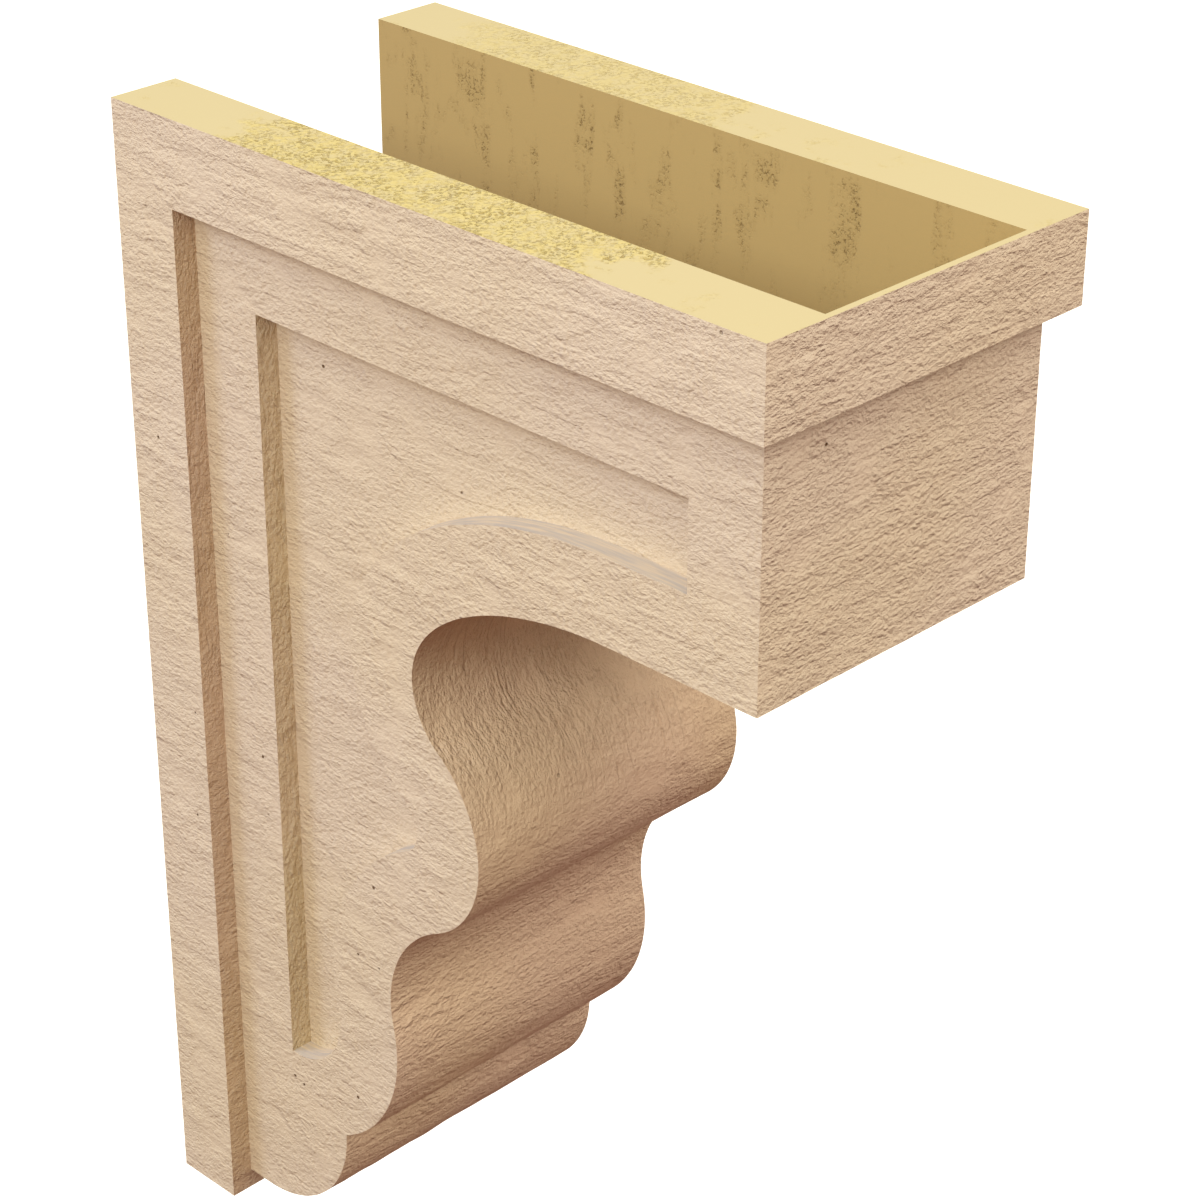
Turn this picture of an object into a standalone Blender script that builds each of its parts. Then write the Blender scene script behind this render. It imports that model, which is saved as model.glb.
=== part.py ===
"""A hollow corbel cast in one piece: a plain cap band over an S-curved bracket with sunk side panels.

It is a shell with two side walls, a front and an underside, open at the top and at the back, where it
slips over a timber. Lengths are in metres. The wall is the plane y = 0, the front faces -Y, and +Z is up.
The side view is drawn in two distances: out from the wall, and up from the feet of the two back stiles.
"""

from math import atan2, ceil, cos, pi, sin, sqrt

import bmesh
import bpy
from mathutils import Vector

MM = 0.001

# Driving dimensions: a 6 by 12 by 18 inch corbel
WIDTH = 152.4 * MM
DEPTH = 304.8 * MM
HEIGHT = 457.2 * MM
WALL = 19.0 * MM

# The origin lies on the back edge of the underside, this far above the feet
ORIGIN_UP = 18.0 * MM

# Cap band round the top, and a stile down the back of each side
SIDE_STEP = 9.5 * MM
FRONT_STEP = 8.2 * MM
CAP_HEIGHT = 33.0 * MM
STILE_DEPTH = 30.5 * MM
FOOT_DROP = 8.3 * MM

# Hollow: full width between the side walls, with a thin lip behind the cap's front
LIP = 2.6 * MM
LIP_HEIGHT = 28.0 * MM

# Sunk panel on each side, with an even border above and below
PANEL_SINK = 9.3 * MM
PANEL_BACK = 61.1 * MM
PANEL_FRONT = 266.3 * MM
PANEL_TOP = 391.4 * MM
PANEL_BORDER = 32.0 * MM

# Front block: the height of its flat underside
BLOCK_UNDERSIDE = 326.0 * MM

# Circles of the curved front, from the bottom up: how far out each reaches, and its radius
LOBE_OUT, LOBE_RADIUS = 91.3 * MM, 48.8 * MM
QUIRK_RADIUS = 0.8 * MM
BELLY_OUT, BELLY_RADIUS = 122.4 * MM, 60.2 * MM
COVE_OUT, COVE_RADIUS, COVE_UP = 119.9 * MM, 48.0 * MM, 133.4 * MM
BREAST_OUT, BREAST_LOWER_RADIUS, BREAST_UPPER_RADIUS = 168.9 * MM, 41.6 * MM, 48.6 * MM
THROAT_OUT, THROAT_RADIUS = 136.8 * MM, 31.5 * MM
SOFFIT_REACH = 94.3 * MM

# Arcs are drawn as short straight runs, at least a few to each
RUN = 1.8 * MM
LEAST_RUNS = 4
OVERCUT = 10.0 * MM

FINISH_COLOUR = (0.72, 0.56, 0.40, 1.0)


class Circle:
    """A round stretch of the side view, either bulging out of the body or hollowed into it."""

    def __init__(self, out, up, radius, bulging, rise=None):
        self.out = out
        self.up = up
        self.radius = radius
        self.bulging = bulging
        self.rise = rise or radius

    def toward(self, other):
        """Direction from this centre to another, which is where two touching circles meet."""
        return atan2(other.up - self.up, other.out - self.out)

    def arc(self, start, end, inset=0.0):
        """Points along the arc, moved into the body by the inset."""
        steps = max(LEAST_RUNS, ceil(abs(end - start) * max(self.radius, self.rise) / RUN))
        points = []
        for i in range(steps + 1):
            angle = start + (end - start) * i / steps
            across, along = cos(angle), sin(angle)
            into_body = Vector((across / self.radius, along / self.rise)).normalized()
            if self.bulging:
                into_body.negate()
            on_curve = Vector((self.out + self.radius * across, self.up + self.rise * along))
            points.append(on_curve + into_body * inset)
        return points


def touching(out, radius, bulging, other, side):
    """A circle at a given distance out that touches another one, above it (side 1) or below it (-1)."""
    across = out - other.out
    height = sqrt((radius + other.radius) ** 2 - across ** 2)
    return Circle(out, other.up + side * height, radius, bulging)


def curve_circles():
    """The circles of the curved front, each touching the next."""
    cove = Circle(COVE_OUT + COVE_RADIUS, COVE_UP, COVE_RADIUS, False)
    belly = touching(BELLY_OUT - BELLY_RADIUS, BELLY_RADIUS, True, cove, -1)
    quirk = touching(LOBE_OUT + QUIRK_RADIUS, QUIRK_RADIUS, False, belly, -1)
    lobe = Circle(LOBE_OUT - LOBE_RADIUS, FOOT_DROP + LOBE_RADIUS, LOBE_RADIUS, True)
    lower = touching(BREAST_OUT - BREAST_LOWER_RADIUS, BREAST_LOWER_RADIUS, True, cove, 1)
    upper = Circle(BREAST_OUT - BREAST_UPPER_RADIUS, lower.up, BREAST_UPPER_RADIUS, True)
    throat = touching(THROAT_OUT + THROAT_RADIUS, THROAT_RADIUS, False, upper, 1)
    rise = BLOCK_UNDERSIDE - throat.up
    soffit = Circle(THROAT_OUT + SOFFIT_REACH, throat.up, SOFFIT_REACH, False, rise)
    return lobe, quirk, belly, cove, lower, upper, throat, soffit


def bracket_curve(inset, belly_start=None):
    """The curve from the belly up to the flat underside of the front block, moved in by the inset."""
    lobe, quirk, belly, cove, lower, upper, throat, soffit = curve_circles()
    start = belly.toward(quirk) if belly_start is None else belly_start
    points = belly.arc(start, belly.toward(cove), inset)
    points += cove.arc(cove.toward(belly) + 2 * pi, cove.toward(lower), inset)[1:]
    points += lower.arc(lower.toward(cove), 0.0, inset)[1:]
    points += upper.arc(0.0, upper.toward(throat), inset)
    points += throat.arc(throat.toward(upper) + 2 * pi, pi, inset)[1:]
    points += soffit.arc(pi, pi / 2, inset)[1:]
    return points


def front_curve(inset):
    """The whole curved front, from the foot of the lobe up, moved in by the inset."""
    lobe, quirk, belly = curve_circles()[:3]
    points = lobe.arc(-pi / 2, 0.0, inset)
    points += quirk.arc(pi, quirk.toward(belly), inset)
    return points + bracket_curve(inset)[1:]


def body_outline():
    """Side view of the solid body, between the stiles and the cap."""
    front = DEPTH - FRONT_STEP
    outline = [Vector((0.0, FOOT_DROP))] + front_curve(0.0)
    outline += [Vector((front, BLOCK_UNDERSIDE)), Vector((front, HEIGHT)), Vector((0.0, HEIGHT))]
    return outline


def hollow_outline():
    """Side view of the hollow, run out past the open top and back."""
    front = DEPTH - FRONT_STEP - WALL
    lip = DEPTH - LIP
    ledge = HEIGHT - LIP_HEIGHT
    outline = [Vector((-OVERCUT, FOOT_DROP + WALL))] + front_curve(WALL)
    outline += [Vector((front, BLOCK_UNDERSIDE + WALL)), Vector((front, ledge))]
    outline += [Vector((lip, ledge)), Vector((lip, HEIGHT + OVERCUT)), Vector((-OVERCUT, HEIGHT + OVERCUT))]
    return outline


def panel_outline():
    """Side view of the sunk panel, whose lower edge follows the curved front."""
    curve = bracket_curve(PANEL_BORDER, belly_start=-pi / 2)
    outline = [Vector((PANEL_BACK, curve[0].y))] + curve
    outline += [Vector((PANEL_FRONT, BLOCK_UNDERSIDE + PANEL_BORDER)), Vector((PANEL_FRONT, PANEL_TOP))]
    return outline + [Vector((PANEL_BACK, PANEL_TOP))]


def box_outline(out_low, out_high, up_low, up_high):
    """Side view of a plain block."""
    corners = ((out_low, up_low), (out_high, up_low), (out_high, up_high), (out_low, up_high))
    return [Vector(corner) for corner in corners]


def prism(name, outline, x_low, x_high):
    """A side view extruded across the width."""
    mesh = bpy.data.meshes.new(name)
    shape = bmesh.new()
    ring = [shape.verts.new((x_low, -point.x, point.y - ORIGIN_UP)) for point in outline]
    face = shape.faces.new(ring)
    extruded = bmesh.ops.extrude_face_region(shape, geom=[face])["geom"]
    moved = [item for item in extruded if isinstance(item, bmesh.types.BMVert)]
    bmesh.ops.translate(shape, vec=(x_high - x_low, 0.0, 0.0), verts=moved)
    bmesh.ops.recalc_face_normals(shape, faces=shape.faces)
    shape.to_mesh(mesh)
    shape.free()
    made = bpy.data.objects.new(name, mesh)
    bpy.context.collection.objects.link(made)
    return made


def combine(target, tool, operation):
    """Add a tool shape to the target or cut it away, and keep the tool as a hidden guide."""
    tool.hide_render = True
    tool.display_type = "WIRE"
    step = target.modifiers.new(tool.name, "BOOLEAN")
    step.operation = operation
    step.object = tool


def finish_material():
    """The tan finish of the cast foam."""
    material = bpy.data.materials.new("tan_finish")
    material.use_nodes = True
    shader = material.node_tree.nodes["Principled BSDF"]
    shader.inputs["Base Color"].default_value = FINISH_COLOUR
    shader.inputs["Roughness"].default_value = 0.85
    shader.inputs["Metallic"].default_value = 0.0
    return material


def corbel_shell():
    """The one casting: body, cap and stiles joined, with the side panels and the hollow cut out."""
    outer = WIDTH / 2
    side = outer - SIDE_STEP
    inner = side - WALL
    shell = prism("corbel_shell", body_outline(), -side, side)
    shell.data.materials.append(finish_material())

    cap = prism("cap_band", box_outline(0.0, DEPTH, HEIGHT - CAP_HEIGHT, HEIGHT), -outer, outer)
    combine(shell, cap, "UNION")
    for sign, label in ((-1, "left"), (1, "right")):
        span = sorted((sign * inner, sign * outer))
        stile = prism(label + "_stile", box_outline(0.0, STILE_DEPTH, 0.0, HEIGHT), *span)
        combine(shell, stile, "UNION")
    for sign, label in ((-1, "left"), (1, "right")):
        span = sorted((sign * (side - PANEL_SINK), sign * (side + OVERCUT)))
        combine(shell, prism(label + "_panel", panel_outline(), *span), "DIFFERENCE")
    combine(shell, prism("hollow", hollow_outline(), -inner, inner), "DIFFERENCE")
    return shell


def main():
    for old in list(bpy.data.objects):
        bpy.data.objects.remove(old, do_unlink=True)
    corbel_shell()


main()
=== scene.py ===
"""A hollow corbel cast in foam, with a tan rough-sawn finish outside and raw foam on its rims and inside."""

from math import ceil, cos, radians

import bmesh
import bpy
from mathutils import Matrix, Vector, kdtree, noise


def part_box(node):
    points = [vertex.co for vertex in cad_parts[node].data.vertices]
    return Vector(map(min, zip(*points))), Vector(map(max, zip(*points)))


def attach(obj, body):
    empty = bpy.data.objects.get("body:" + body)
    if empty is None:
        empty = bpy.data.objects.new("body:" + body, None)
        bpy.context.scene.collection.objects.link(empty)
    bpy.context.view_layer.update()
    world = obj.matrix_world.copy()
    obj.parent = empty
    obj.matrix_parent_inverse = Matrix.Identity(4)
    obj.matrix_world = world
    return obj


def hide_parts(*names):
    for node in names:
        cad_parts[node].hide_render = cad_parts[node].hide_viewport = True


bl_info = {
    "name": "Rough-sawn corbel",
    "version": (1, 0, 0),
    "blender": (4, 5, 0),
    "location": "3D View > Sidebar > Corbel",
    "description": "A hollow cast corbel with a tan rough-sawn finish, raw foam rims and a plain stage",
    "category": "Object",
}

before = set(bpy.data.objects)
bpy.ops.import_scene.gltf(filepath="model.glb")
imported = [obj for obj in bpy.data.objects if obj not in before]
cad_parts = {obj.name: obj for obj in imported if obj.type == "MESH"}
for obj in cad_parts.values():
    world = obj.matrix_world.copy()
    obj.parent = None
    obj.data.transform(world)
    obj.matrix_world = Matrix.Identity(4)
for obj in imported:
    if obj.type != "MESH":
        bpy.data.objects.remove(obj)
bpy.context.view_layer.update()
LOW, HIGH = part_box("corbel_shell")

# Sizes of the casting, in metres
SIDE_STEP = 0.0095
WALL = 0.019
PANEL_SINK = 0.0093
FRONT_STEP = 0.0082
STILE_DEPTH = 0.0305
THROAT_FOOT = 0.20
SIDE_X = HIGH.x - SIDE_STEP
INNER_X = SIDE_X - WALL
PANEL_X = SIDE_X - PANEL_SINK
BLOCK_Y = LOW.y + FRONT_STEP

# Axes by number
X, Y, Z = range(3)

# How near two places count as touching, and how near two points are made one, in metres
TOUCH = 0.0002
SAME_POINT = 0.000001

# Faces that turn less than the first from each other are merged, and less than the second shaded as one
FLAT_TURN = radians(0.2)
SMOOTH_TURN = radians(50.0)
SAME_FACE = cos(SMOOTH_TURN)

# The part of a normal along an axis from which a face looks that way, and from which it looks up at all
FACES_AXIS = 0.9
LOOKS_UP = 0.1

# How many cells wide a face may be before it is cut
WIDEST_FACE = 1.4

# Waves of the relief that is cut in the mesh, along and across the grain, in metres
RIDGE_ALONG, RIDGE_ACROSS = 0.026, 0.0062
TORN_ALONG, TORN_ACROSS = 0.012, 0.0065
SWELL = 0.055

# The patches in which the mesh is torn: their width in metres, where they lie, and how sharply they end
PATCH = 0.045
PATCH_SHIFT = Vector((7.0, 3.0, 5.0))
PATCH_CONTRAST = 2.5

# The middle of a noise that goes from 0 to 1
MIDDLE = 0.5

# Cells of the rough-sawn finish along and across the grain, in metres
GRAIN_CELL = (0.0024, 0.0016)
CRUMB_CELL = (0.0019, 0.0013)
LUMP_CELL = (0.0052, 0.0032)
TERRACE_CELL = (0.0400, 0.0050)
CRACK_CELL = (0.0700, 0.0070)

# The noise at which a terrace, a gap between crumbs, a crease and a crack start and are whole
TERRACE_EDGE = (0.46, 0.54)
GAP_EDGE = (0.46, 0.28)
CREASE_EDGE = (0.06, 0.0)
CRACK_EDGE = (0.016, 0.004)

# Patches that are torn, calm, cracked, of one hue, or have pin holes: their width in metres, and the
# noise at which they start and are whole
TORN_PATCH, TORN_EDGE = 0.022, (0.50, 0.66)
CALM_PATCH, CALM_EDGE = 0.017, (0.58, 0.74)
CRACKED_PATCH, CRACKED_EDGE = 0.030, (0.44, 0.56)
HUE_PATCH, HUE_EDGE = 0.10, (0.35, 0.65)
HOLED_PATCH, HOLED_EDGE = 0.05, (0.57, 0.64)

# Shares of the rough-sawn finish's height
CRUMB_RISE = 0.8
GRAIN_FALL = 0.22
TERRACE_RISE = 0.13
TORN_LUMP_RISE = 0.4
TORN_CREASE_RISE = 0.5
CRACK_FALL = 0.15
HOLE_FALL = 0.8

# How much the lumps add to the height on the sides, on the front and the curve, and on the steps
SIDE_LUMPS = 0.35
FRONT_LUMPS = 0.5
STEP_LUMPS = 1.2

# How much painted shade darkens the gaps between crumbs, the creases and the cracks, from 0 to 1
GAP_SHADE = 0.5
CREASE_SHADE = 0.05
TORN_CREASE_SHADE = 0.2
CRACK_SHADE = 0.5

# How much of the height, and of the painted shade in the pores, a calm patch takes away
CALM_LEVELS = 0.35
CALM_UNSHADES = 0.3

# How far above and below the throat's foot the grain turns, in metres
GRAIN_FADE = 0.03

# Room for each pin hole along X, Y and Z, and how far from its middle it fades in and is whole, in cells
HOLE_CELL = (0.016, 0.016, 0.016)
HOLE_EDGE = (0.050, 0.030)

# The smooth coat's streaks along X, Y and Z in metres, the noise at which they turn from its grey to
# the tan, and its share of the sides' relief
COAT_STREAK = (0.0015, 0.020, 0.020)
COAT_EDGE = (0.35, 0.70)
COAT_RELIEF = 0.25

# Roughness of the finishes, how much smoother a pore is, and the specular level of all of them
TAN_ROUGHNESS = 0.85
PORE_SMOOTHER = 0.05
COAT_ROUGHNESS = 0.75
FOAM_ROUGHNESS = 0.8
FINISH_SPECULAR = 0.2

# The long rough patches on the near and the far rim: where they begin and end, outward from the wall,
# how softly they end and how far their ends wander, in metres, and how rough the far one is
NEAR_PATCH = (-0.052, -0.240)
FAR_PATCH = (-0.028, -0.175)
PATCH_FADE = 0.014
PATCH_WANDER = 0.08
FAR_PATCH_ROUGH = 0.55

# Where the far side changes to the near one, along X in metres
NEAR_SIDE = (0.001, -0.001)

# Foam on the rims: the width of its cells in metres, and the noise at which stray spots, dense patches,
# specks and grit start and are whole
DRIFT_CELL, STRAY_EDGE = 0.018, (0.56, 0.70)
DENSE_PATCH, DENSE_EDGE = 0.009, (0.38, 0.60)
SPECK_CELL, SPECK_EDGE = 0.0014, (0.46, 0.70)
GRIT_CELL, GRIT_EDGE = 0.0030, (0.34, 0.62)

# Stray spots on the rims: how much of a long patch they take away, and how rough they are
STRAY_CLEARS = 0.6
STRAY_ROUGH = 0.35

# On the rims: the specks where they aren't dense, how yellow rough foam is and what grit adds to it,
# how much of a speck's colour shows, and how high the grit is
SPARSE_SPECKS = 0.35
ROUGH_YELLOW = 0.25
GRIT_YELLOW = 0.65
RIM_SPECK_SHARE = 0.6
GRIT_RISE = 0.5

# Foam inside: the cells of its streaks, stains and specks along X, Y and Z and the width of the breaks
# in the streaks, in metres, and the noise at which they start and are whole
STREAK_CELL, STREAK_EDGE = (0.010, 0.010, 0.050), (0.50, 0.68)
STAIN_CELL, STAIN_EDGE = (0.012, 0.012, 0.020), (0.56, 0.76)
INNER_SPECK_CELL = (0.0014, 0.0014, 0.0018)
BREAK_PATCH, UNBROKEN_EDGE = 0.012, (0.38, 0.60)

# The roughness of all of the foam's noise
FOAM_NOISE = 0.6

# Inside: how thick specks lie in a stain, how much of the stain's and of a speck's colour shows, and
# how deep a speck is
STAIN_SPECKS = 0.5
STAIN_SHARE = 0.30
INNER_SPECK_SHARE = 0.5
INNER_SPECK_FALL = 0.6

# The axes each surface's grain runs along. In the throat it follows the curve, up and outward.
GRAIN_ALONG_Y = (False, True, False)
GRAIN_ALONG_X = (True, False, False)
GRAIN_ALONG_Z = (False, False, True)
GRAIN_ALONG_CURVE = (False, True, True)

# Material slots of the shell, in order, and the grain of those that are cut into relief
SIDE, FRONT, CURVE, RETURN, PANEL_EDGE, RIM, INSIDE = range(7)
GRAIN = {SIDE: GRAIN_ALONG_Y, FRONT: GRAIN_ALONG_X, CURVE: GRAIN_ALONG_X, RETURN: GRAIN_ALONG_Z}

# The photograph's camera: its place in metres, its turn in degrees, its lens and sensor in millimetres
CAMERA_PLACE = (-0.7268, -0.8795, 0.8117)
CAMERA_TURN = (62.263, -0.092, -45.343)
CAMERA_LENS = 98.2
SENSOR_WIDTH = 36.0

# The floor's colour and roughness, and the colour of its glow
FLOOR_COLOUR = (0.95, 0.95, 0.95, 1.0)
FLOOR_ROUGHNESS = 0.9
GLOW_COLOUR = (1.0, 1.0, 1.0, 1.0)

# The sky's colours, and the direction each softbox shines from with its colour
SKY_ABOVE = (1.0, 0.975, 0.86, 1.0)
SKY_BELOW = (0.16, 0.06, 0.045, 1.0)
KEY_FROM, KEY_COLOUR = (-1.0, 0.9, 0.9), (0.43, 0.56, 1.0)
LEFT_FROM, LEFT_COLOUR = (-1.0, -0.15, 0.7), (1.0, 0.99, 0.98)
FILL_FROM, FILL_COLOUR = (0.45, -1.0, 0.85), (1.0, 0.91, 0.88)

# How high the sky changes from the lower colour to the upper one, as the upward part of the direction
SKY_FADE = (-0.3, 0.75)


class Value:
    """A number or a vector that varies over a surface, which Python's arithmetic can work on."""

    def __init__(self, nodes, socket):
        self.nodes = nodes
        self.socket = socket

    def maths(self, operation, first, second=0.0):
        """One Math node, whose result is a new value."""
        return self.nodes.node("ShaderNodeMath", {"operation": operation}, {0: first, 1: second})

    def __add__(self, other):
        return self.maths("ADD", self, other)

    def __radd__(self, other):
        return self.maths("ADD", other, self)

    def __sub__(self, other):
        return self.maths("SUBTRACT", self, other)

    def __rsub__(self, other):
        return self.maths("SUBTRACT", other, self)

    def __mul__(self, other):
        return self.maths("MULTIPLY", self, other)

    def __rmul__(self, other):
        return self.maths("MULTIPLY", other, self)

    def __abs__(self):
        return self.maths("ABSOLUTE", self)


class Nodes:
    """Short calls that add nodes to a material or to the sky."""

    def __init__(self, tree):
        self.tree = tree

    def node(self, kind, settings=None, sockets=None, output=0):
        """Add one node: its settings first, then the values or links of its sockets."""
        made = self.tree.nodes.new(kind)
        for name, setting in (settings or {}).items():
            setattr(made, name, setting)
        for name, value in (sockets or {}).items():
            self.feed(made.inputs[name], value)
        return Value(self, made.outputs[output])

    def feed(self, socket, value):
        """Link a value that varies to a socket, or set a plain one on it."""
        if isinstance(value, Value):
            self.tree.links.new(value.socket, socket)
        else:
            socket.default_value = value

    def step(self, value, low, high):
        """0 below the low value, 1 above the high one, and smooth between; low may be the larger."""
        sockets = {"Value": value, "From Min": low, "From Max": high}
        return self.node("ShaderNodeMapRange", {"interpolation_type": "SMOOTHSTEP"}, sockets)

    def between(self, value, places, fade):
        """1 between two places, the larger one first, and 0 outside them."""
        start, end = places
        return self.step(value, start, start - fade) * self.step(value, end, end + fade)

    def mix(self, share, first, second):
        """A colour between two, by a share from 0 to 1."""
        settings = {"data_type": "RGBA", "clamp_factor": True}
        return self.node("ShaderNodeMix", settings, {0: share, 6: colour(first), 7: colour(second)}, 2)


class Finish(Nodes):
    """A material whose patterns stand in the casting's own coordinates."""

    def __init__(self, name):
        self.material = bpy.data.materials.new(name)
        self.material.use_nodes = True
        super().__init__(self.material.node_tree)
        self.shader = self.tree.nodes["Principled BSDF"]
        self.place = self.node("ShaderNodeTexCoord", output="Object")

    def stretched(self, sizes):
        """Object coordinates counted in cells of these sizes along X, Y and Z."""
        scale = tuple(1.0 / size for size in sizes)
        return self.node("ShaderNodeMapping", None, {"Vector": self.place, "Scale": scale})

    def clouds(self, sizes, detail=2.0, roughness=0.5):
        """Smooth noise from 0 to 1, with cells of these sizes."""
        sockets = {"Vector": self.stretched(sizes), "Scale": 1.0, "Detail": detail, "Roughness": roughness}
        return self.node("ShaderNodeTexNoise", None, sockets, "Fac")

    def even_clouds(self, size, detail=2.0, roughness=0.5):
        """Smooth noise whose cells are as long as they are wide."""
        return self.clouds((size, size, size), detail, roughness)

    def spots(self, sizes):
        """Distance from the nearest of many scattered points, one to each cell of these sizes."""
        sockets = {"Vector": self.stretched(sizes), "Scale": 1.0}
        return self.node("ShaderNodeTexVoronoi", None, sockets, "Distance")

    def along(self, axis):
        """The place along an axis, in metres from the origin."""
        return self.node("ShaderNodeSeparateXYZ", None, {0: self.place}, axis)

    def blend(self, share, first, second):
        """A number between two, by a share from 0 to 1."""
        return first * (1.0 - share) + second * share

    def paint(self, coat, roughness, height, depth):
        """Link the finished colour, and a relief whose height of 1 stands for a depth in metres."""
        self.feed(self.shader.inputs["Base Color"], coat)
        self.feed(self.shader.inputs["Roughness"], roughness)
        sockets = {"Height": height, "Distance": depth, "Strength": 1.0}
        self.feed(self.shader.inputs["Normal"], self.node("ShaderNodeBump", None, sockets))
        self.shader.inputs["Specular IOR Level"].default_value = FINISH_SPECULAR
        return self.material


def colour(value):
    """A colour property as a socket takes it; a linked colour is passed on as it is."""
    return value if isinstance(value, Value) else tuple(value)


def grain_sizes(grain, along, across):
    """Cell sizes along X, Y and Z for a grain direction."""
    return tuple(along if runs else across for runs in grain)


def sawn_relief(finish, grain, lumps):
    """Height of rough-sawn grain, and the painted shade in its gaps and creases: crumbs, terraces, lumps
    where it is torn, smooth islands.
    """
    grains = finish.spots(grain_sizes(grain, *GRAIN_CELL))
    crumb = finish.clouds(grain_sizes(grain, *CRUMB_CELL), roughness=0.7)
    lump = finish.clouds(grain_sizes(grain, *LUMP_CELL), detail=1.5, roughness=0.6)
    crease = abs(lump - MIDDLE)
    terrace = finish.step(finish.clouds(grain_sizes(grain, *TERRACE_CELL), detail=1.5), *TERRACE_EDGE)
    torn = finish.step(finish.even_clouds(TORN_PATCH, detail=0.0), *TORN_EDGE)
    calm = finish.step(finish.even_clouds(CALM_PATCH, detail=0.0), *CALM_EDGE)
    height = crumb * CRUMB_RISE - grains * GRAIN_FALL + terrace * TERRACE_RISE
    height = height + lump * (lumps + torn * TORN_LUMP_RISE) + crease * torn * TORN_CREASE_RISE
    gap = finish.step(crumb, *GAP_EDGE)
    crease_line = finish.step(crease, *CREASE_EDGE)
    pore_shade = gap * GAP_SHADE + crease_line * (CREASE_SHADE + torn * TORN_CREASE_SHADE)
    return height * (1.0 - calm * CALM_LEVELS), pore_shade * (1.0 - calm * CALM_UNSHADES)


def long_cracks(finish, grain):
    """Thin cracks that run on along the grain, in patches."""
    wave = finish.clouds(grain_sizes(grain, *CRACK_CELL), detail=1.5)
    here = finish.step(finish.even_clouds(CRACKED_PATCH, detail=0.0), *CRACKED_EDGE)
    return finish.step(abs(wave - MIDDLE), *CRACK_EDGE) * here


def tan_finish(name, settings, coats, deep, depth, lumps, grain, upper_grain=None):
    """The tan coat: a slow drift between two hues, painted shade in the pores, creases and cracks, and a few
    brown pin holes.
    """
    finish = Finish(name)
    height, pore_shade = sawn_relief(finish, grain, lumps)
    if upper_grain:
        above = finish.step(finish.along(Z), THROAT_FOOT - GRAIN_FADE, THROAT_FOOT + GRAIN_FADE)
        upper_height, upper_pore_shade = sawn_relief(finish, upper_grain, lumps)
        crack = long_cracks(finish, upper_grain)
        height = finish.blend(above, height, upper_height - crack * CRACK_FALL)
        pore_shade = finish.blend(above, pore_shade, upper_pore_shade + crack * CRACK_SHADE)
    coat = finish.mix(finish.step(finish.even_clouds(HUE_PATCH, detail=0.0), *HUE_EDGE), *coats)
    hole_here = finish.step(finish.even_clouds(HOLED_PATCH, detail=0.0), *HOLED_EDGE)
    hole = finish.step(finish.spots(HOLE_CELL), *HOLE_EDGE) * hole_here
    # The pores, creases and cracks are darkened toward the deep tan as painted shade
    shaded = finish.mix(pore_shade * settings.pore_shade_strength, coat, deep)
    finished = finish.mix(hole, shaded, settings.pit_brown)
    roughness = TAN_ROUGHNESS - pore_shade * PORE_SMOOTHER
    return finish.paint(finished, roughness, height - hole * HOLE_FALL, depth)


def smooth_coat(name, settings):
    """The plain coat on the panels' upward edges, with only faint streaks; its grey is the coat's own, made
    darker as painted shade on these up-facing ledges.
    """
    finish = Finish(name)
    streak = finish.clouds(COAT_STREAK, detail=3.0)
    coat = finish.mix(finish.step(streak, *COAT_EDGE), settings.coat_shaded_grey, settings.pink_tan)
    return finish.paint(coat, COAT_ROUGHNESS, streak, settings.side_relief * COAT_RELIEF)


def rim_foam(name, settings):
    """Foam on the rims: a smooth pale skin, with long rough patches where open cells show as specks."""
    finish = Finish(name)
    near_side = finish.step(finish.along(X), *NEAR_SIDE)
    drift = finish.even_clouds(DRIFT_CELL, detail=4.0, roughness=FOAM_NOISE)
    outward = finish.along(Y) + (drift - MIDDLE) * PATCH_WANDER
    near = finish.between(outward, NEAR_PATCH, PATCH_FADE)
    far = finish.between(outward, FAR_PATCH, PATCH_FADE)
    long_patch = finish.blend(near_side, far * FAR_PATCH_ROUGH, near)
    stray = finish.step(drift, *STRAY_EDGE)
    rough = long_patch * (1.0 - stray * STRAY_CLEARS) + stray * STRAY_ROUGH
    dense = finish.step(finish.even_clouds(DENSE_PATCH, roughness=FOAM_NOISE), *DENSE_EDGE)
    open_cell = finish.step(finish.even_clouds(SPECK_CELL, roughness=FOAM_NOISE), *SPECK_EDGE)
    speck = open_cell * rough * (SPARSE_SPECKS + dense * (1.0 - SPARSE_SPECKS))
    grit = finish.step(finish.even_clouds(GRIT_CELL, roughness=FOAM_NOISE), *GRIT_EDGE)
    yellow = rough * (ROUGH_YELLOW + grit * GRIT_YELLOW)
    skin = finish.mix(yellow, settings.foam_pale, settings.foam_yellow)
    coat = finish.mix(speck * RIM_SPECK_SHARE, skin, settings.speck_olive)
    return finish.paint(coat, FOAM_ROUGHNESS, grit * rough * GRIT_RISE - speck, settings.foam_relief)


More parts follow.
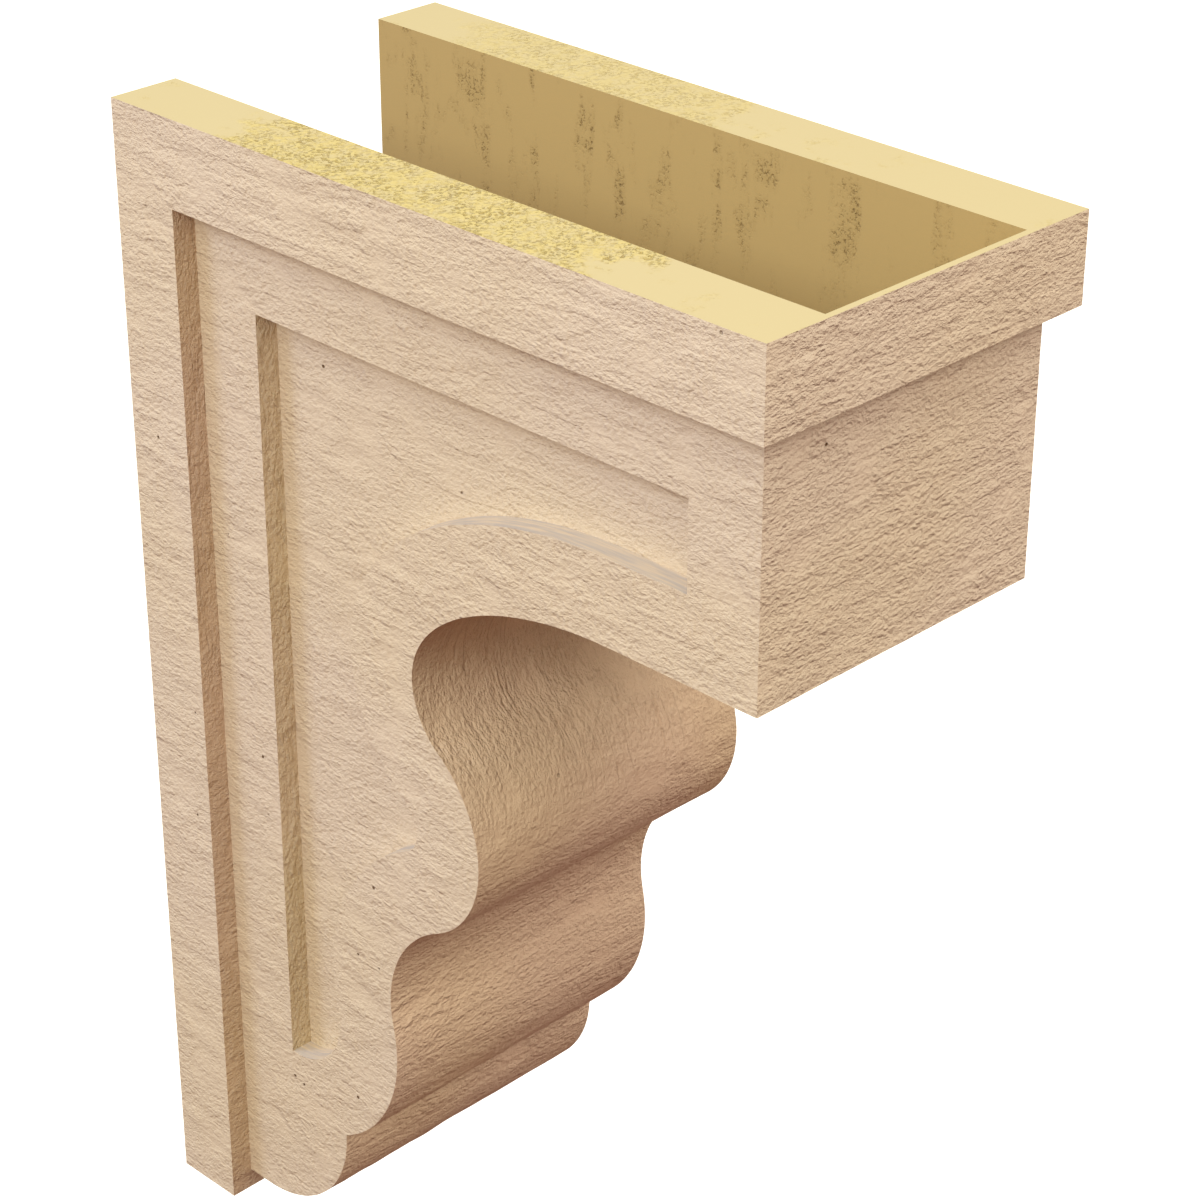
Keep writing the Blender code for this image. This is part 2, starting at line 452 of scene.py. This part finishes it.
def inner_foam(name, settings):
    """Foam inside the hollow: smooth, with specks gathered in upright streaks and soft brown stains."""
    finish = Finish(name)
    streak = finish.step(finish.clouds(STREAK_CELL, detail=3.0, roughness=FOAM_NOISE), *STREAK_EDGE)
    whole = finish.even_clouds(BREAK_PATCH, detail=3.0, roughness=FOAM_NOISE)
    unbroken = finish.step(whole, *UNBROKEN_EDGE)
    stain = finish.step(finish.clouds(STAIN_CELL, detail=3.0, roughness=FOAM_NOISE), *STAIN_EDGE)
    gathered = streak * unbroken + stain * STAIN_SPECKS
    open_cell = finish.step(finish.clouds(INNER_SPECK_CELL, roughness=FOAM_NOISE), *SPECK_EDGE)
    speck = open_cell * gathered
    skin = finish.mix(gathered * STAIN_SHARE, settings.foam_inside, settings.foam_stain)
    coat = finish.mix(speck * INNER_SPECK_SHARE, skin, settings.speck_brown)
    return finish.paint(coat, FOAM_ROUGHNESS, speck * -INNER_SPECK_FALL, settings.foam_relief)


def shell_materials(settings):
    """The shell's materials, in the order of its slots."""
    side = (settings.warm_tan, settings.pink_tan)
    # The front takes tans lighter and bluer than the sides': painted light on the front
    front = (settings.front_lit_tan, settings.front_lit_pink)
    # The curved front takes tans darker and redder than the sides': painted shade of the throat
    curve = (settings.curve_shaded_tan, settings.curve_shaded_pink)
    # The steps take tans lighter and yellower than the sides': painted light on the steps
    step = (settings.return_lit_tan, settings.return_lit_pink)
    # Tans of the painted shade in the pores; the second serves the curved front and the steps
    deep, deeper = settings.pore_shade_tan, settings.curve_pore_shade_tan
    side_height, front_height = settings.side_relief, settings.front_relief
    curve_height = settings.curve_relief
    curve_grains = (GRAIN_ALONG_X, GRAIN_ALONG_CURVE)
    return [
        tan_finish("tan_side", settings, side, deep, side_height, SIDE_LUMPS, GRAIN_ALONG_Y),
        tan_finish("tan_front", settings, front, deep, front_height, FRONT_LUMPS, GRAIN_ALONG_X),
        tan_finish("tan_curve", settings, curve, deeper, curve_height, FRONT_LUMPS, *curve_grains),
        tan_finish("tan_return", settings, step, deeper, front_height, STEP_LUMPS, GRAIN_ALONG_Z),
        smooth_coat("tan_panel_edge", settings),
        rim_foam("foam_rim", settings),
        inner_foam("foam_inside", settings),
    ]


def surface_of(face):
    """Which material slot a face of the casting belongs to, from where it lies and how it faces."""
    reach = [abs(vert.co.x) for vert in face.verts]
    centre = face.calc_center_median()
    if face.normal.z > FACES_AXIS and centre.z > HIGH.z - TOUCH:
        return RIM
    if face.normal.y > FACES_AXIS and centre.y > -TOUCH:
        return INSIDE
    underside = face.normal.z < -FACES_AXIS and centre.z < 0.0
    if max(reach) < INNER_X + TOUCH and not underside:
        return INSIDE
    if abs(face.normal.x) > FACES_AXIS:
        return SIDE
    if face.normal.y < -FACES_AXIS and centre.y < BLOCK_Y + TOUCH:
        return FRONT
    if min(reach) > PANEL_X - TOUCH and abs(centre.x) > PANEL_X:
        panel_edge = centre.y < -STILE_DEPTH - TOUCH and face.normal.z > LOOKS_UP
        return PANEL_EDGE if panel_edge else RETURN
    return CURVE


def slice_faces(shape, faces, axis, places):
    """Cut faces at places along an axis: at the middle one, and then each half in the same way."""
    spacing = places[1] - places[0] if len(places) > 1 else 0.0
    wide = [face for face in faces if extent(face, axis) > spacing * WIDEST_FACE]
    if not wide or not places:
        return
    middle = len(places) // 2
    point = Vector()
    normal = Vector()
    point[axis] = places[middle]
    normal[axis] = 1.0
    edges = {edge for face in wide for edge in face.edges}
    verts = {vert for face in wide for vert in face.verts}
    geometry = wide + list(edges) + list(verts)
    cut = bmesh.ops.bisect_plane(shape, geom=geometry, dist=TOUCH, plane_co=point, plane_no=normal)
    pieces = [item for item in cut["geom"] if isinstance(item, bmesh.types.BMFace)]
    below = [face for face in pieces if face.calc_center_median()[axis] < places[middle]]
    above = [face for face in pieces if face.calc_center_median()[axis] >= places[middle]]
    slice_faces(shape, below, axis, places[:middle])
    slice_faces(shape, above, axis, places[middle + 1:])


def extent(face, axis):
    """How far a face reaches along an axis."""
    spots = [vert.co[axis] for vert in face.verts]
    return max(spots) - min(spots)


def cut_into_cells(shape, slots, cell):
    """Cut the faces of these material slots into square cells."""
    for axis in range(3):
        count = ceil((HIGH[axis] - LOW[axis]) / cell)
        places = [LOW[axis] + cell * (i + 0.5) for i in range(count)]
        faces = [face for face in shape.faces if face.material_index in slots]
        slice_faces(shape, faces, axis, places)


def rough_sawn(point, grain, settings):
    """Height of the relief at a point: a slow swell, saw ridges along the grain, and torn patches."""
    ridge_sizes = grain_sizes(grain, RIDGE_ALONG, RIDGE_ACROSS)
    torn_sizes = grain_sizes(grain, TORN_ALONG, TORN_ACROSS)
    swell = noise.noise(point / SWELL)
    ridge = noise.noise(Vector([place / size for place, size in zip(point, ridge_sizes)]))
    torn = noise.noise(Vector([place / size for place, size in zip(point, torn_sizes)]))
    patch = noise.noise(point / PATCH + PATCH_SHIFT) * PATCH_CONTRAST + MIDDLE
    patch = min(max(patch, 0.0), 1.0)
    return (
        settings.swell_height * swell
        + settings.ridge_height * ridge
        + settings.torn_height * patch * torn
    )


def face_directions(vert):
    """The directions that the faces round a point look in, each with the slot of one of its faces."""
    directions = []
    for face in vert.link_faces:
        for known in directions:
            if known[0].normalized().dot(face.normal) > SAME_FACE:
                known[0] += face.normal
                break
        else:
            directions.append([face.normal.copy(), face.material_index])
    return directions


def raise_relief(shape, settings):
    """Move each point of the tan faces out or in by the relief there, and less and less toward an edge."""
    facing = {vert: face_directions(vert) for vert in shape.verts}
    corners = [vert.co.copy() for vert, directions in facing.items() if len(directions) > 1]
    edges = kdtree.KDTree(len(corners))
    for index, corner in enumerate(corners):
        edges.insert(corner, index)
    edges.balance()
    moves = []
    for vert, directions in facing.items():
        away = min(edges.find(vert.co)[2] / settings.edge_fade, 1.0)
        share = settings.edge_share + (1.0 - settings.edge_share) * away * away * (3.0 - 2.0 * away)
        for direction, slot in directions:
            if slot in GRAIN:
                height = share * rough_sawn(vert.co, GRAIN[slot], settings)
                moves.append((vert, direction.normalized() * height))
    for vert, move in moves:
        vert.co += move


def length_setting(name, description, default):
    """A length property."""
    return bpy.props.FloatProperty(
        name=name, description=description, default=default, unit="LENGTH", precision=5
    )


def power_setting(name, description, default):
    """A light's power as a property."""
    return bpy.props.FloatProperty(name=name, description=description, default=default, unit="POWER")


def share_setting(name, description, default):
    """A plain factor as a property."""
    return bpy.props.FloatProperty(name=name, description=description, default=default, subtype="FACTOR")


def colour_setting(name, description, default):
    """A colour property."""
    return bpy.props.FloatVectorProperty(
        name=name, description=description, size=4, subtype="COLOR", default=(*default, 1.0)
    )


class CorbelShellSettings(bpy.types.PropertyGroup):
    """Sizes and colours of the casting."""

    cell: length_setting("Cell", "Mesh cell on the tan faces", 0.002)
    foam_cell: length_setting("Foam cell", "Mesh cell on the bare foam", 0.006)
    swell_height: length_setting("Swell", "Height of the slow swell", 0.0003)
    ridge_height: length_setting("Ridges", "Height of the saw ridges", 0.0003)
    torn_height: length_setting("Torn grain", "Height of the torn patches", 0.0004)
    edge_share: share_setting("Edge share", "How much of the relief is left along the edges", 0.15)
    edge_fade: length_setting("Edge fade", "How far from an edge the relief is whole", 0.006)
    side_relief: length_setting("Side relief", "Depth of the crumbs on the sides", 0.0011)
    front_relief: length_setting("Front relief", "Depth of the crumbs on the front and the steps", 0.0016)
    curve_relief: length_setting("Curve relief", "Depth of the crumbs on the curved front", 0.0018)
    foam_relief: length_setting("Foam relief", "Depth of the foam's open cells", 0.0006)
    # Strength of the painted shade in the pores, creases and cracks
    pore_shade_strength: share_setting("Pores", "How dark the pores are", 0.32)
    warm_tan: colour_setting("Warm tan", "Yellower tan of the sides", (0.671, 0.548, 0.371))
    pink_tan: colour_setting("Pink tan", "Pinker tan of the sides", (0.671, 0.550, 0.390))
    # The front's tans are lighter and bluer than the sides': painted light on the front
    front_lit_tan: colour_setting("Front tan", "Yellower tan of the front", (0.682, 0.560, 0.398))
    front_lit_pink: colour_setting("Front pink", "Pinker tan of the front", (0.682, 0.560, 0.415))
    # The curved front's tans are darker and redder than the sides': painted shade of the throat
    curve_shaded_tan: colour_setting("Curve tan", "Yellower tan of the curved front", (0.651, 0.490, 0.312))
    curve_shaded_pink: colour_setting("Curve pink", "Pinker tan of the curved front", (0.651, 0.480, 0.333))
    # The steps' tans are lighter and yellower than the sides': painted light on the steps
    return_lit_tan: colour_setting("Return tan", "Yellower tan of the steps", (0.692, 0.562, 0.356))
    return_lit_pink: colour_setting("Return pink", "Pinker tan of the steps", (0.692, 0.553, 0.370))
    # Tans of the painted shade in the pores, creases and cracks
    pore_shade_tan: colour_setting("Deep tan", "Tan in the pores", (0.46, 0.27, 0.13))
    curve_pore_shade_tan: colour_setting("Deep curve tan", "Pores of the curved front", (0.42, 0.23, 0.11))
    pit_brown: colour_setting("Pit brown", "Pin holes", (0.20, 0.12, 0.06))
    # The smooth coat's own grey, made darker as painted shade on the upward ledges
    coat_shaded_grey: colour_setting("Coat grey", "Smooth panel edges", (0.51, 0.45, 0.38))
    foam_pale: colour_setting("Pale foam", "Smooth foam on the rims", (0.488, 0.405, 0.216))
    foam_yellow: colour_setting("Yellow foam", "Rough foam on the rims", (0.530, 0.425, 0.162))
    foam_inside: colour_setting("Inner foam", "Smooth foam inside", (0.453, 0.325, 0.126))
    foam_stain: colour_setting("Stained foam", "Streaks and stains inside", (0.31, 0.21, 0.07))
    speck_olive: colour_setting("Olive specks", "Open cells of the rims", (0.30, 0.19, 0.03))
    speck_brown: colour_setting("Brown specks", "Open cells inside", (0.16, 0.09, 0.03))


class CorbelStageSettings(bpy.types.PropertyGroup):
    """Floor, light and camera."""

    floor_drop: length_setting("Floor drop", "Height of the corbel's feet above the floor", 1.2)
    floor_size: length_setting("Floor size", "Width of the floor", 40.0)
    floor_glow: share_setting("Floor glow", "Light that the floor gives to the camera alone", 0.40)
    sky_strength: share_setting("Sky", "Strength of the even light", 1.35)
    key_power: power_setting("Key light", "Power of the softbox behind on the left", 17.0)
    left_power: power_setting("Left light", "Power of the softbox on the left", 20.0)
    fill_power: power_setting("Fill light", "Power of the softbox in front", 17.0)
    light_distance: length_setting("Light distance", "From the corbel to each softbox", 2.2)
    light_size: length_setting("Light size", "Width of each softbox", 0.7)


class CORBEL_OT_shell(bpy.types.Operator):
    """Make the casting with its rough-sawn relief"""

    bl_idname = "corbel.shell"
    bl_label = "Corbel Shell"

    def execute(self, context):
        settings = context.scene.corbel_shell
        shape = bmesh.new()
        shape.from_mesh(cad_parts["corbel_shell"].data)
        bmesh.ops.remove_doubles(shape, verts=shape.verts, dist=SAME_POINT)
        bmesh.ops.dissolve_limit(
            shape,
            angle_limit=FLAT_TURN,
            verts=shape.verts,
            edges=shape.edges,
            use_dissolve_boundaries=False,
        )
        for face in shape.faces:
            face.material_index = surface_of(face)
        cut_into_cells(shape, (SIDE, FRONT, CURVE, RETURN, PANEL_EDGE), settings.cell)
        cut_into_cells(shape, (RIM, INSIDE), settings.foam_cell)
        raise_relief(shape, settings)
        ragged = [face for face in shape.faces if len(face.verts) > 4]
        bmesh.ops.triangulate(shape, faces=ragged)
        mesh = bpy.data.meshes.new("rough_sawn_shell")
        shape.to_mesh(mesh)
        shape.free()
        # The solid's own shading came over with its mesh, and would smear across the new edges
        copied_normals = mesh.attributes.get("custom_normal")
        if copied_normals:
            mesh.attributes.remove(copied_normals)
        mesh.shade_smooth()
        mesh.set_sharp_from_angle(angle=SMOOTH_TURN)
        for material in shell_materials(settings):
            mesh.materials.append(material)
        shell = bpy.data.objects.new("rough_sawn_shell", mesh)
        context.collection.objects.link(shell)
        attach(shell, "root")
        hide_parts("corbel_shell")
        return {"FINISHED"}


class CORBEL_OT_stage(bpy.types.Operator):
    """Make the floor, the light and the camera"""

    bl_idname = "corbel.stage"
    bl_label = "Corbel Stage"

    def execute(self, context):
        settings = context.scene.corbel_stage
        context.scene.view_settings.view_transform = "Standard"
        self.floor(context, settings)
        self.sky(context, settings)
        self.softbox(context, settings, "key_softbox", KEY_FROM, KEY_COLOUR, settings.key_power)
        self.softbox(context, settings, "left_softbox", LEFT_FROM, LEFT_COLOUR, settings.left_power)
        self.softbox(context, settings, "fill_softbox", FILL_FROM, FILL_COLOUR, settings.fill_power)
        self.camera(context)
        return {"FINISHED"}

    def floor(self, context, settings):
        """A pale floor far below, which casts no light on the corbel."""
        mesh = bpy.data.meshes.new("pale_floor")
        shape = bmesh.new()
        bmesh.ops.create_grid(shape, x_segments=1, y_segments=1, size=settings.floor_size / 2)
        bmesh.ops.translate(shape, vec=(0.0, 0.0, LOW.z - settings.floor_drop), verts=shape.verts)
        shape.to_mesh(mesh)
        shape.free()
        pale = Finish("pale_floor")
        pale.shader.inputs["Base Color"].default_value = FLOOR_COLOUR
        pale.shader.inputs["Roughness"].default_value = FLOOR_ROUGHNESS
        pale.shader.inputs["Emission Color"].default_value = GLOW_COLOUR
        pale.shader.inputs["Emission Strength"].default_value = settings.floor_glow
        mesh.materials.append(pale.material)
        floor = bpy.data.objects.new("pale_floor", mesh)
        floor.visible_diffuse = False
        floor.visible_glossy = False
        context.collection.objects.link(floor)

    def sky(self, context, settings):
        """An even light that is bright above, dim below and smooth between."""
        world = bpy.data.worlds.new("soft_sky")
        world.use_nodes = True
        context.scene.world = world
        background = world.node_tree.nodes["Background"]
        background.inputs["Strength"].default_value = settings.sky_strength
        sky = Nodes(world.node_tree)
        direction = sky.node("ShaderNodeTexCoord", output="Generated")
        up = sky.node("ShaderNodeSeparateXYZ", None, {0: direction}, Z)
        sky.feed(background.inputs["Color"], sky.mix(sky.step(up, *SKY_FADE), SKY_BELOW, SKY_ABOVE))

    def softbox(self, context, settings, name, direction, tint, power):
        """A square light that shines on the middle of the corbel from a direction."""
        lamp = bpy.data.lights.new(name, "AREA")
        lamp.energy = power
        lamp.color = tint
        lamp.size = settings.light_size
        box = bpy.data.objects.new(name, lamp)
        toward = Vector(direction).normalized()
        box.location = (LOW + HIGH) / 2 + toward * settings.light_distance
        box.rotation_euler = toward.to_track_quat("Z", "Y").to_euler()
        context.collection.objects.link(box)

    def camera(self, context):
        """The camera where the photograph was taken from."""
        lens = bpy.data.cameras.new("photo_camera")
        lens.lens = CAMERA_LENS
        lens.sensor_width = SENSOR_WIDTH
        camera = bpy.data.objects.new("photo_camera", lens)
        camera.location = CAMERA_PLACE
        camera.rotation_euler = [radians(turn) for turn in CAMERA_TURN]
        context.collection.objects.link(camera)
        context.scene.camera = camera


class CORBEL_PT_panel(bpy.types.Panel):
    """The corbel's operators in the sidebar"""

    bl_label = "Corbel"
    bl_space_type = "VIEW_3D"
    bl_region_type = "UI"
    bl_category = "Corbel"

    def draw(self, context):
        for operator in OPERATORS:
            self.layout.operator(operator.bl_idname)


OPERATORS = (CORBEL_OT_shell, CORBEL_OT_stage)
CLASSES = (CorbelShellSettings, CorbelStageSettings) + OPERATORS + (CORBEL_PT_panel,)


def register():
    for made in CLASSES:
        bpy.utils.register_class(made)
    bpy.types.Scene.corbel_shell = bpy.props.PointerProperty(type=CorbelShellSettings)
    bpy.types.Scene.corbel_stage = bpy.props.PointerProperty(type=CorbelStageSettings)


def unregister():
    del bpy.types.Scene.corbel_stage
    del bpy.types.Scene.corbel_shell
    for made in reversed(CLASSES):
        bpy.utils.unregister_class(made)


def main():
    register()
    bpy.ops.corbel.shell()
    bpy.ops.corbel.stage()


if __name__ == "__main__":
    main()
